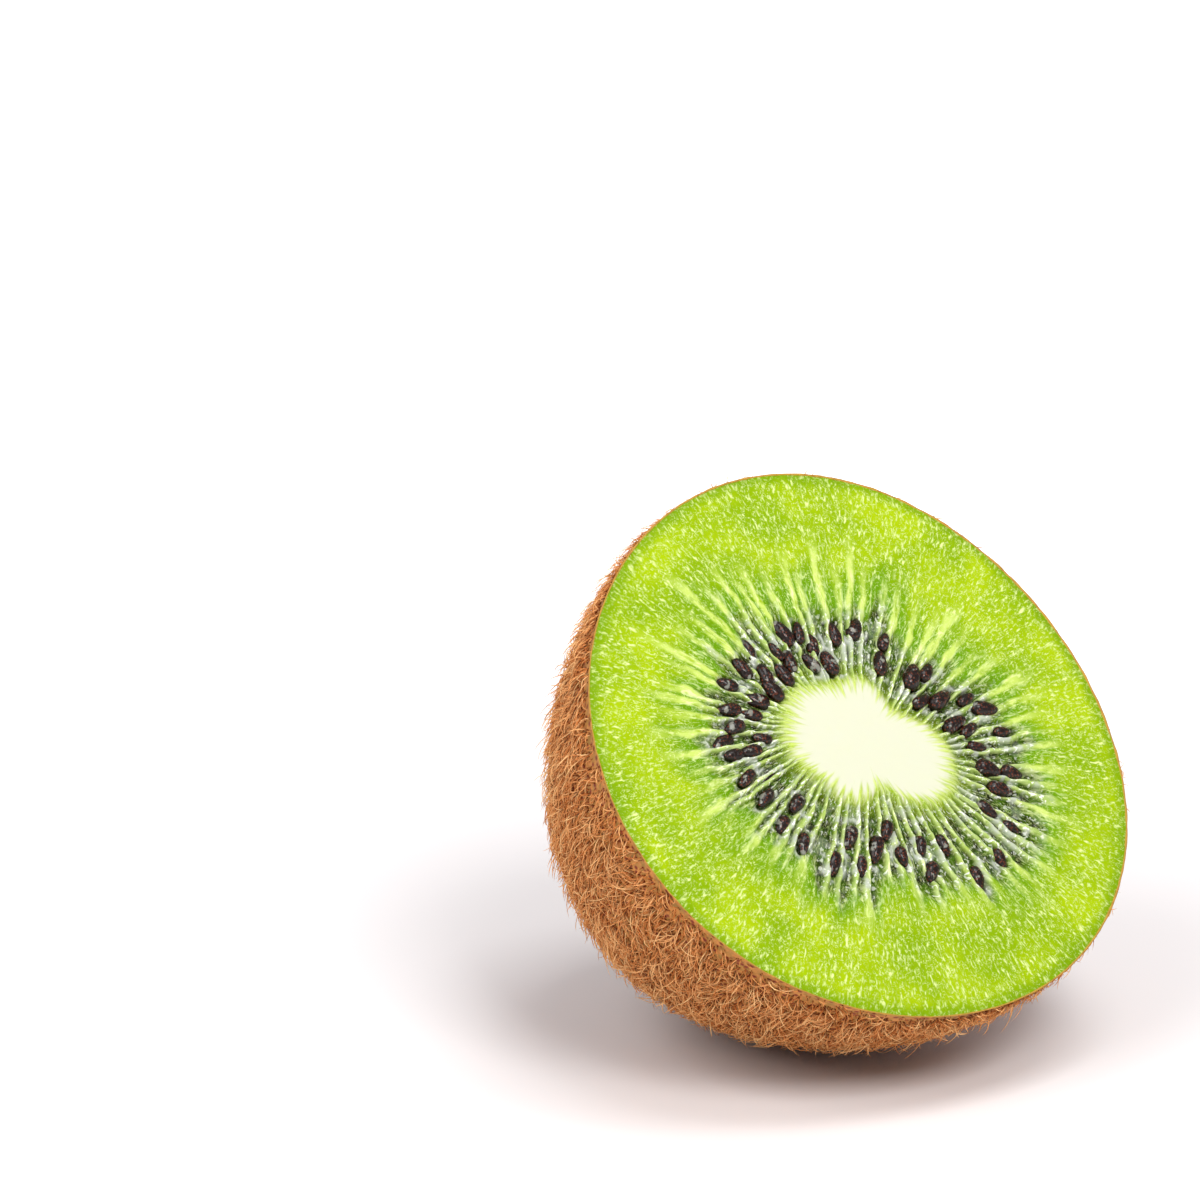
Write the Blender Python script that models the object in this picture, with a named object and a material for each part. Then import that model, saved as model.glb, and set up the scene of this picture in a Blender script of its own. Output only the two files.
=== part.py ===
"""Half of a kiwi fruit, cut across the middle and lying on its skin.

The fruit is modelled in its own frame: the cut face is the plane z = 0 and the blossom end is
straight below its middle, at negative z. Three solids sit one inside the other, as the layers of
the fruit do: the outer flesh with the skin on it, the softer flesh that holds the seeds, and the
pale core. The frame is then tilted, so that the cut face looks up and towards -Y, and set down
on a small flat spot of the skin. The world's origin is on that spot.
"""

import math
from dataclasses import dataclass, replace

import bmesh
import bpy
from mathutils import Euler, Vector

# Driving dimensions, in metres and radians.
CUT_WIDTH = 0.0500  # across the cut face, along X
CUT_HEIGHT = 0.0490  # across the cut face, up its slope
HALF_LENGTH = 0.0320  # from the cut face to the blossom end
FACE_TILT = math.radians(50)  # of the cut face, from level
REST_SPOT_DEPTH = 0.00045  # of skin pressed flat where the half sits
LAYER_GAP = 0.0003  # between one layer and the next

# The fruit is a little three-cornered, as it grew.
CORNER_COUNT = 3
CORNER_HEIGHT = 0.0003
CORNER_ANGLE = math.radians(-45)

# The core and the ring of seeds are longer one way across the cut than the other.
INNER_TURN = math.radians(-30)
SEED_RING_LONG = 0.0300
SEED_RING_SHORT = 0.0246
SEED_RING_DEPTH = 0.0255
CORE_LONG = 0.0160
CORE_SHORT = 0.0102
CORE_DEPTH = 0.0225
CORE_CORNER_HEIGHT = 0.0006

# How finely the round shapes are divided.
SEGMENTS = 64
SKIN_RINGS = 24
INNER_RINGS = 9
WELD_DISTANCE = 1e-6


@dataclass(frozen=True)
class Layer:
    """One nested layer: an oval outline at the cut that narrows to a rounded tip below it."""

    long_half: float
    short_half: float
    turn: float  # of the oval's long axis from X, counted towards +Y
    depth: float  # of the tip below the cut face
    power: float  # of the side's curve: 2 is an ellipse, less is more pointed
    corner_height: float  # of the three low corners on the oval
    rings: int

    def grown(self, gap):
        """The same layer, larger all round by a gap: the hollow that it fits in."""
        return replace(
            self,
            long_half=self.long_half + gap,
            short_half=self.short_half + gap,
            depth=self.depth + gap,
        )

    def radius(self, angle):
        """Distance from the middle of the cut face to the outline at an angle."""
        across = angle - self.turn
        oval = self.long_half * self.short_half / math.hypot(
            self.short_half * math.cos(across),
            self.long_half * math.sin(across),
        )
        return oval + self.corner_height * math.cos(CORNER_COUNT * (angle - CORNER_ANGLE))

    def rings_from_cut(self):
        """Rings of points from the outline at the cut face down to the last one above the tip."""
        rings = []
        for step in range(self.rings):
            sweep = math.pi / 2 * step / self.rings
            narrowing = math.cos(sweep) ** (2 / self.power)
            z = -self.depth * math.sin(sweep) ** (2 / self.power)
            ring = []
            for segment in range(SEGMENTS):
                angle = math.tau * segment / SEGMENTS
                reach = narrowing * self.radius(angle)
                ring.append((reach * math.cos(angle), reach * math.sin(angle), z))
            rings.append(ring)
        return rings

    def tip(self):
        """The lowest point of the layer, straight below the middle of the cut face."""
        return (0.0, 0.0, -self.depth)


OUTER_FLESH = Layer(
    long_half=CUT_WIDTH / 2,
    short_half=CUT_HEIGHT / 2,
    turn=0.0,
    depth=HALF_LENGTH,
    power=1.9,
    corner_height=CORNER_HEIGHT,
    rings=SKIN_RINGS,
)
SEED_FLESH = Layer(
    long_half=SEED_RING_LONG / 2,
    short_half=SEED_RING_SHORT / 2,
    turn=INNER_TURN,
    depth=SEED_RING_DEPTH,
    power=2.0,
    corner_height=CORNER_HEIGHT,
    rings=INNER_RINGS,
)
CORE = Layer(
    long_half=CORE_LONG / 2,
    short_half=CORE_SHORT / 2,
    turn=INNER_TURN,
    depth=CORE_DEPTH,
    power=1.6,
    corner_height=CORE_CORNER_HEIGHT,
    rings=INNER_RINGS,
)


def clear_scene():
    """Remove the objects of the scene that Blender opens with."""
    for thing in list(bpy.data.objects):
        bpy.data.objects.remove(thing, do_unlink=True)


def make_material(name, colour, roughness):
    """Make a plain Principled material; the colour is linear red, green and blue."""
    material = bpy.data.materials.new(name)
    material.use_nodes = True
    shader = material.node_tree.nodes["Principled BSDF"]
    shader.inputs["Base Color"].default_value = (*colour, 1.0)
    shader.inputs["Roughness"].default_value = roughness
    shader.inputs["Metallic"].default_value = 0.0
    return material


def join_rings(shape, upper, lower, material_index):
    """Close the band between two rings of vertices; a ring of one vertex is a tip."""
    for i in range(SEGMENTS):
        if len(lower) == 1:
            corners = (upper[i - 1], lower[0], upper[i])
        elif len(upper) == 1:
            corners = (upper[0], lower[i - 1], lower[i])
        else:
            corners = (upper[i - 1], lower[i - 1], lower[i], upper[i])
        shape.faces.new(corners).material_index = material_index


def make_layer(name, layer, hollow, materials):
    """Make one layer as a closed solid.

    The solid runs from the tip up its outside to the cut face. From there it goes down the
    hollow for the next layer to the hollow's own tip, or straight across if there is no hollow.
    The first material is for the cut and the hollow, and the last one is for the outside.
    """
    rings = [[layer.tip()], *reversed(layer.rings_from_cut())]
    outside_bands = len(rings) - 1
    if hollow:
        rings += [*hollow.rings_from_cut(), [hollow.tip()]]
    else:
        rings.append([(0.0, 0.0, 0.0)])
    shape = bmesh.new()
    vertex_rings = [[shape.verts.new(point) for point in ring] for ring in rings]
    for band, (lower, upper) in enumerate(zip(vertex_rings, vertex_rings[1:])):
        is_outside = band < outside_bands
        join_rings(shape, upper, lower, len(materials) - 1 if is_outside else 0)
    bmesh.ops.recalc_face_normals(shape, faces=shape.faces)
    mesh = bpy.data.meshes.new(name)
    shape.to_mesh(mesh)
    shape.free()
    mesh.shade_smooth()
    mesh.set_sharp_from_angle(angle=math.radians(35))
    for material in materials:
        mesh.materials.append(material)
    thing = bpy.data.objects.new(name, mesh)
    bpy.context.collection.objects.link(thing)
    return thing


def press_rest_spot(thing, up, height):
    """Cut a solid flat, square to a direction and at a height along it, and close the cut."""
    shape = bmesh.new()
    shape.from_mesh(thing.data)
    cut = bmesh.ops.bisect_plane(
        shape,
        geom=[*shape.verts, *shape.edges, *shape.faces],
        dist=WELD_DISTANCE,
        plane_co=up * height,
        plane_no=up,
        clear_inner=True,
    )
    rim = [item for item in cut["geom_cut"] if isinstance(item, bmesh.types.BMEdge)]
    skin_index = len(thing.data.materials) - 1
    for face in bmesh.ops.edgeloop_fill(shape, edges=rim)["faces"]:
        face.material_index = skin_index
    bmesh.ops.recalc_face_normals(shape, faces=shape.faces)
    shape.to_mesh(thing.data)
    shape.free()


def set_down(things):
    """Tilt the layers together and rest the first one on a flat spot at the world's origin."""
    tilt = Euler((FACE_TILT, 0.0, 0.0)).to_matrix()
    up = tilt.inverted() @ Vector((0.0, 0.0, 1.0))
    lowest = min((v.co for v in things[0].data.vertices), key=up.dot).copy()
    floor_height = up.dot(lowest) + REST_SPOT_DEPTH
    press_rest_spot(things[0], up, floor_height)
    touching = lowest + up * REST_SPOT_DEPTH
    stand = bpy.data.objects.new("kiwi_half", None)
    bpy.context.collection.objects.link(stand)
    stand.rotation_euler = (FACE_TILT, 0.0, 0.0)
    stand.location = -(tilt @ touching)
    for thing in things:
        thing.parent = stand


def main():
    """Build the three layers and set them down."""
    clear_scene()
    skin = make_material("skin", (0.33, 0.15, 0.06), 0.85)
    green = make_material("outer_flesh", (0.46, 0.68, 0.08), 0.35)
    dark_green = make_material("seed_flesh", (0.22, 0.32, 0.05), 0.30)
    cream = make_material("core", (0.90, 0.91, 0.70), 0.45)
    outer = make_layer("outer_flesh", OUTER_FLESH, SEED_FLESH.grown(LAYER_GAP), (green, skin))
    seeds = make_layer("seed_flesh", SEED_FLESH, CORE.grown(LAYER_GAP), (dark_green,))
    core = make_layer("core", CORE, None, (cream,))
    set_down((outer, seeds, core))


main()
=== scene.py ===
"""Looks of half a kiwi fruit: wet green flesh, pale core, black seeds and fuzzy brown skin.

Every piece is modelled in the fruit's own frame, as it would be on a turntable: the cut face is
the plane z = 0, the core is at the origin and the blossom end is straight below it. One placing
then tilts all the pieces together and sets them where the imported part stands.
"""

import itertools
import logging
import math
from dataclasses import dataclass, field
from enum import Enum
from typing import Any, ClassVar

import bpy
import numpy as np
from mathutils import Matrix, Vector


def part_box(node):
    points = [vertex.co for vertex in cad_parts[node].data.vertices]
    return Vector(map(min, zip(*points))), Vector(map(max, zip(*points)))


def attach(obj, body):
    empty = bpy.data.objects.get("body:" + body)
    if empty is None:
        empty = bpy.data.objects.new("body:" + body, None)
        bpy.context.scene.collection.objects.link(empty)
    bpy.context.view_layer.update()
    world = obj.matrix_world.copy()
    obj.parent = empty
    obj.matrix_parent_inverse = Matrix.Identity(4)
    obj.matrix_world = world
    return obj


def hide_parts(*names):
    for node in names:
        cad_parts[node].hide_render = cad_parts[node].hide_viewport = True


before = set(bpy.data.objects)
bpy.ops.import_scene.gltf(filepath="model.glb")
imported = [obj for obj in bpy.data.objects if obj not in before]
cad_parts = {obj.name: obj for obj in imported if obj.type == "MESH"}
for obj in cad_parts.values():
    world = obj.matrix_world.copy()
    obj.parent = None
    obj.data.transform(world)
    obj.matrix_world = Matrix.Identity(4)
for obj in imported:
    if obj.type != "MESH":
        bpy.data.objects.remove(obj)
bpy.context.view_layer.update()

Array = np.ndarray
Colour = tuple[float, float, float, float]
Socket = bpy.types.NodeSocket
Layers = tuple[tuple[Socket, str | Socket], ...]

MM = 0.001
PER_MM = 1.0 / MM
TURN = math.tau
BODY = "root"
BAKE_MAP = "OFBake"
HALF_MAP = 0.49  # from the middle of the bake map to just inside its side

log = logging.getLogger("kiwi_half")


class Slot(Enum):
    """The names of the record's material slots."""

    FLESH = "outer_flesh"
    CORE = "core"
    SKIN = "skin"
    FUZZ = "fuzz"
    SEED = "seed"


# ---------------------------------------------------------------------------------------------
# Small tools
# ---------------------------------------------------------------------------------------------


def linear(hex_colour: str) -> Colour:
    """Turn an sRGB hex colour into the linear colour that shaders use.

    Args:
        hex_colour: Six hex digits after a hash sign.

    Returns:
        Linear red, green and blue with a full alpha.
    """
    parts = [int(hex_colour[i : i + 2], 16) / 255 for i in (1, 3, 5)]
    return (*[p / 12.92 if p <= 0.04045 else ((p + 0.055) / 1.055) ** 2.4 for p in parts], 1.0)


def smooth_step(low: float, high: float, value: Array) -> Array:
    """Rise from 0 to 1 between two limits with an even start and stop."""
    part = np.clip((value - low) / (high - low), 0.0, 1.0)
    return part * part * (3.0 - 2.0 * part)


def lattice_noise(points: Array, seed: int) -> Array:
    """Give smooth random values at points in space.

    Args:
        points: An array whose last axis is x, y and z, in lattice cells.
        seed: Picks one of many patterns.

    Returns:
        Values in 0 to 1, one for each point.
    """
    cell = np.floor(points).astype(np.int64)
    part = points - cell
    ease = part * part * (3.0 - 2.0 * part)
    total = np.zeros(points.shape[:-1])
    for corner in itertools.product((0, 1), repeat=3):
        at = (cell + np.array(corner)).astype(np.uint64)
        key = at[..., 0] * np.uint64(73856093) ^ at[..., 1] * np.uint64(19349663)
        key = key ^ at[..., 2] * np.uint64(83492791) ^ np.uint64(seed * 2654435761)
        key = (key ^ key >> np.uint64(33)) * np.uint64(0xFF51AFD7ED558CCD)
        key = (key ^ key >> np.uint64(33)) * np.uint64(0xC4CEB9FE1A85EC53)
        value = (key >> np.uint64(40)).astype(float) / float(1 << 24)
        weight = np.prod(np.where(np.array(corner) == 1, ease, 1.0 - ease), axis=-1)
        total += value * weight
    return total


def layered_noise(points: Array, seed: int, layers: int = 3) -> Array:
    """Add lattice noise at halving sizes and strengths.

    Args:
        points: An array whose last axis is x, y and z, in cells of the coarsest layer.
        seed: Picks one of many patterns.
        layers: How many sizes are added.

    Returns:
        Values in 0 to 1, one for each point.
    """
    total = np.zeros(points.shape[:-1])
    strength = 1.0
    for layer in range(layers):
        total += strength * lattice_noise(points * 2.0**layer, seed + layer)
        strength *= 0.5
    return total / (2.0 - 2.0 * strength)


def unit(vectors: Array) -> Array:
    """Scale vectors to length one."""
    return vectors / np.maximum(np.linalg.norm(vectors, axis=-1, keepdims=True), 1e-12)


def add_node(
    tree: bpy.types.NodeTree,
    kind: str,
    inputs: dict[str | int, Any] | None = None,
    **settings: Any,
) -> bpy.types.Node:
    """Add a node to a tree, set it up and link it.

    Args:
        tree: The node tree.
        kind: The node's Blender type.
        inputs: A value to set or a socket to link, by the input's name or number.
        **settings: Values of the node's own properties. "stops" fills a colour ramp.

    Returns:
        The new node.
    """
    node = tree.nodes.new(kind)
    for name, value in settings.items():
        if name != "stops":
            setattr(node, name, value)
            continue
        while len(node.color_ramp.elements) < len(value):
            node.color_ramp.elements.new(0.5)
        for stop, (position, hex_colour) in zip(node.color_ramp.elements, value):
            stop.position = position
            stop.color = linear(hex_colour)
    for name, value in (inputs or {}).items():
        if isinstance(value, bpy.types.NodeSocket):
            tree.links.new(value, node.inputs[name])
        else:
            node.inputs[name].default_value = value
    return node


@dataclass
class Shape:
    """A mesh in the making: points, faces of three or four corners, and a map of its corners."""

    points: Array
    faces: list[Array]
    corner_map: list[Array]
    values: dict[str, Array] = field(default_factory=dict)

    def make_mesh(self, name: str) -> bpy.types.Mesh:
        """Write the shape into a new mesh with smooth faces.

        Args:
            name: The mesh's name.

        Returns:
            The mesh, with its bake map and one attribute for each named set of values.
        """
        mesh = bpy.data.meshes.new(name)
        corners = np.concatenate([f.ravel() for f in self.faces]).astype(np.int32)
        sizes = np.concatenate([np.full(len(f), f.shape[1]) for f in self.faces])
        starts = np.concatenate([[0], np.cumsum(sizes)[:-1]]).astype(np.int32)
        mesh.vertices.add(len(self.points))
        mesh.vertices.foreach_set("co", self.points.astype(np.float32).ravel())
        mesh.loops.add(len(corners))
        mesh.loops.foreach_set("vertex_index", corners)
        mesh.polygons.add(len(sizes))
        mesh.polygons.foreach_set("loop_start", starts)
        mesh.polygons.foreach_set("use_smooth", np.ones(len(sizes), dtype=bool))
        mesh.update(calc_edges=True)
        layer = mesh.uv_layers.new(name=BAKE_MAP)
        flat_map = np.concatenate([m.reshape(-1, 2) for m in self.corner_map])
        layer.data.foreach_set("uv", flat_map.astype(np.float32).ravel())
        for key, value in self.values.items():
            kind, slot = ("FLOAT", "value") if value.ndim == 1 else ("FLOAT_VECTOR", "vector")
            attribute = mesh.attributes.new(key, kind, "POINT")
            attribute.data.foreach_set(slot, value.astype(np.float32).ravel())
        mesh.validate()
        return mesh


def loft(first_tip: Array, rings: Array, last_tip: Array, reaches: Array) -> Shape:
    """Join rings of points into one closed body with a tip at each end.

    The rings run anticlockwise as seen from the side that the first tip faces.

    Args:
        first_tip: The point that closes the first ring.
        rings: Points, by ring and then by place around it.
        last_tip: The point that closes the last ring.
        reaches: Distance from the middle of the bake map for the first tip, each ring and the
            last tip.

    Returns:
        The closed shape.
    """
    ring_count, around = rings.shape[:2]
    points = np.concatenate([first_tip[None], rings.reshape(-1, 3), last_tip[None]])
    here = np.arange(around)
    ahead = (here + 1) % around
    first_fan = np.stack([np.zeros(around, int), 1 + here, 1 + ahead], axis=1)
    base = 1 + np.arange(ring_count - 1)[:, None] * around
    quads = np.stack(
        [base + here, base + around + here, base + around + ahead, base + ahead], axis=-1
    ).reshape(-1, 4)
    end = 1 + (ring_count - 1) * around
    last_fan = np.stack([end + here, np.full(around, len(points) - 1), end + ahead], axis=1)
    turn_here = TURN * here / around
    turn_ahead = TURN * (here + 1) / around

    def on_map(reach: Array, turn: Array) -> Array:
        """Place corners on the bake map by reach and turn."""
        return 0.5 + np.stack([reach * np.cos(turn), reach * np.sin(turn)], axis=-1)

    first_map = np.stack(
        [
            on_map(np.full(around, reaches[0]), (turn_here + turn_ahead) / 2),
            on_map(np.full(around, reaches[1]), turn_here),
            on_map(np.full(around, reaches[1]), turn_ahead),
        ],
        axis=1,
    )
    inner = reaches[1:-2][:, None] * np.ones(around)
    outer = reaches[2:-1][:, None] * np.ones(around)
    quad_map = np.stack(
        [
            on_map(inner, turn_here),
            on_map(outer, turn_here),
            on_map(outer, turn_ahead),
            on_map(inner, turn_ahead),
        ],
        axis=2,
    ).reshape(-1, 4, 2)
    last_map = np.stack(
        [
            on_map(np.full(around, reaches[-2]), turn_here),
            on_map(np.full(around, reaches[-1]), (turn_here + turn_ahead) / 2),
            on_map(np.full(around, reaches[-2]), turn_ahead),
        ],
        axis=1,
    )
    return Shape(points, [first_fan, quads, last_fan], [first_map, quad_map, last_map])


def arc_reaches(stops: list[Array], share: float = HALF_MAP) -> Array:
    """Spread rings over the bake map by how far apart they lie.

    Args:
        stops: One point for the first tip, each ring and the last tip.
        share: Reach of the last tip on the map.

    Returns:
        One reach for each stop, growing from 0.
    """
    path = np.stack(stops)
    steps = np.linalg.norm(np.diff(path, axis=0), axis=1)
    run = np.concatenate([[0.0], np.cumsum(steps)])
    return share * run / run[-1]


def carried(value: Array, before: int, after: int) -> Array:
    """Carry a value of the cut on to a body's other rings and to its tips.

    Args:
        value: The value by ring of the cut and by place around it.
        before: How many rings the body has before those of the cut.
        after: How many it has after them.

    Returns:
        One value for each point of the body.
    """
    ahead = np.repeat(value[:1], before, axis=0)
    behind = np.repeat(value[-1:], after, axis=0)
    rings = np.concatenate([ahead, value, behind])
    flat = rings.reshape(-1, *rings.shape[2:])
    return np.concatenate([flat[:1], flat, flat[-1:]])


# ---------------------------------------------------------------------------------------------
# The fruit's form
# ---------------------------------------------------------------------------------------------


@dataclass(frozen=True)
class Oval:
    """An oval outline in the plane of the cut, with low lobes as the fruit grew them."""

    long_half: float
    short_half: float
    turn: float
    lobes: tuple[tuple[int, float, float], ...]  # how many round, how high, where the first is

    def reach(self, angle: Array) -> Array:
        """Measure the outline.

        Args:
            angle: Directions from the middle.

        Returns:
            The distance from the middle to the outline in each direction.
        """
        across = angle - self.turn
        oval = self.long_half * self.short_half / np.hypot(
            self.short_half * np.cos(across), self.long_half * np.sin(across)
        )
        for count, height, first in self.lobes:
            oval = oval + height * np.cos(count * (angle - math.radians(first)))
        return oval

    def fanned(self, angle: Array) -> Array:
        """Turn even angles into ones that crowd at the oval's ends, where its outline bends most.

        Args:
            angle: Even angles.

        Returns:
            The crowded angles.
        """
        across = angle - self.turn
        return self.turn + np.arctan2(
            self.short_half * np.sin(across), self.long_half * np.cos(across)
        )


@dataclass(frozen=True)
class Body:
    """The half fruit's outside: an oval at the cut that narrows to a rounded blossom end."""

    outline: Oval = Oval(
        long_half=25.0 * MM, short_half=24.5 * MM, turn=0.0, lobes=((3, 0.3 * MM, -45.0),)
    )
    length: float = 32.0 * MM
    power: float = 1.9  # 2 would be an ellipse; less is a little more pointed
    tilt: float = math.radians(50)
    fuzz_depth: float = 1.1 * MM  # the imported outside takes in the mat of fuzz

    def side(self, angle: Array, sweep: Array, inset: Array | float = 0.0) -> Array:
        """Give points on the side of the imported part, fuzz and all.

        Args:
            angle: Around the fruit, from X.
            sweep: 0 at the cut, a quarter turn at the blossom end.
            inset: How far inside that surface the points lie.

        Returns:
            Points in the fruit's frame.
        """
        narrowing = np.cos(sweep) ** (2.0 / self.power)
        reach = (self.outline.reach(angle) - inset) * narrowing
        depth = (self.length - inset) * np.sin(sweep) ** (2.0 / self.power)
        x, y, z = np.broadcast_arrays(reach * np.cos(angle), reach * np.sin(angle), -depth)
        return np.stack([x, y, z], axis=-1)

    def skin(self, angle: Array, sweep: Array, inset: float = 0.0) -> Array:
        """Give points on the bare skin, which lies under the fuzz away from the cut."""
        return self.side(angle, sweep, inset + self.fuzz_depth * np.sqrt(np.sin(sweep)))

    def skin_normal(self, angle: Array, sweep: Array) -> Array:
        """Give the skin's outward direction, from two short steps along it.

        Args:
            angle: Around the fruit, from X.
            sweep: 0 at the cut, a quarter turn at the blossom end.

        Returns:
            Unit vectors in the fruit's frame.
        """
        step = 1e-3
        inside = np.clip(sweep, step, TURN / 4 - 2 * step)
        around = self.skin(angle + step, inside) - self.skin(angle - step, inside)
        down = self.skin(angle, inside + step) - self.skin(angle, inside - step)
        return unit(np.cross(down, around))


@dataclass(frozen=True)
class Placing:
    """Where the fruit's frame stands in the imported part's frame."""

    rotation: Array
    location: Array

    @classmethod
    def from_part(cls, body: Body, node: str) -> "Placing":
        """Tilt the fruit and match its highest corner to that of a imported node's box.

        Args:
            body: The half fruit's outside.
            node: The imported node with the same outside.

        Returns:
            The placing that all pieces share.
        """
        cos, sin = math.cos(body.tilt), math.sin(body.tilt)
        rotation = np.array([[1, 0, 0], [0, cos, -sin], [0, sin, cos]])
        angle, sweep = np.meshgrid(np.linspace(0, TURN, 361), np.linspace(0, TURN / 4.001, 90))
        turned = body.side(angle, sweep) @ rotation.T
        highest = turned.reshape(-1, 3).max(axis=0)
        return cls(rotation, np.array(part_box(node)[1]) - highest)

    def to_part(self, points: Array) -> Array:
        """Move points from the fruit's frame to the part's frame."""
        return points @ self.rotation.T + self.location

    def to_fruit(self, points: Array) -> Array:
        """Move points from the part's frame to the fruit's frame."""
        return (points - self.location) @ self.rotation

    def lift(self, points: Array, clearance: float) -> Array:
        """Raise points that would lie under the level the fruit rests on.

        Args:
            points: Points in the fruit's frame.
            clearance: How far above that level they stay.

        Returns:
            The points, still in the fruit's frame.
        """
        placed = self.to_part(points)
        placed[..., 2] = np.maximum(placed[..., 2], clearance)
        return self.to_fruit(placed)

    def put(
        self, name: str, shape: Shape, material: bpy.types.Material, slot: Slot
    ) -> bpy.types.Object:
        """Make a piece from a shape, place it and tie it to the part.

        Args:
            name: The piece's name.
            shape: Its mesh in the fruit's frame.
            material: Its finish.
            slot: The record's slot for that finish; not used.

        Returns:
            The piece's object.
        """
        shape.points = self.to_part(shape.points)
        mesh = shape.make_mesh(name)
        mesh.materials.append(material)
        piece = bpy.data.objects.new(name, mesh)
        bpy.context.collection.objects.link(piece)
        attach(piece, BODY)
        log.info("%s: %d points, %d faces", name, len(mesh.vertices), len(mesh.polygons))
        return piece


# ---------------------------------------------------------------------------------------------
# Finishes
# ---------------------------------------------------------------------------------------------


@dataclass(frozen=True)
class Finish:
    """What every finish shares: an empty material, and layers of paint laid over a ground."""

    def start(self, name: str) -> tuple[bpy.types.Material, bpy.types.NodeTree, bpy.types.Node]:
        """Make an empty Principled material.

        Args:
            name: The material's name.

        Returns:
            The material, its node tree and its Principled shader, which feeds the output.
        """
        material = bpy.data.materials.new(name)
        material.use_nodes = True
        tree = material.node_tree
        tree.nodes.clear()
        shader = add_node(tree, "ShaderNodeBsdfPrincipled")
        add_node(tree, "ShaderNodeOutputMaterial", {"Surface": shader.outputs[0]})
        return material, tree, shader

    def layered(self, tree: bpy.types.NodeTree, ground: Socket, layers: Layers) -> Socket:
        """Lay paints over a ground, each as thick as its amount says.

        Args:
            tree: The material's nodes.
            ground: The socket of the lowest colour.
            layers: The amount and the paint of each layer; a paint is a hex colour or a socket.

        Returns:
            The socket of the colour seen from above.
        """
        for amount, paint in layers:
            paint = linear(paint) if isinstance(paint, str) else paint
            mix = add_node(tree, "ShaderNodeMix", {0: amount, 6: ground, 7: paint}, data_type="RGBA")
            ground = mix.outputs[2]
        return ground


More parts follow.
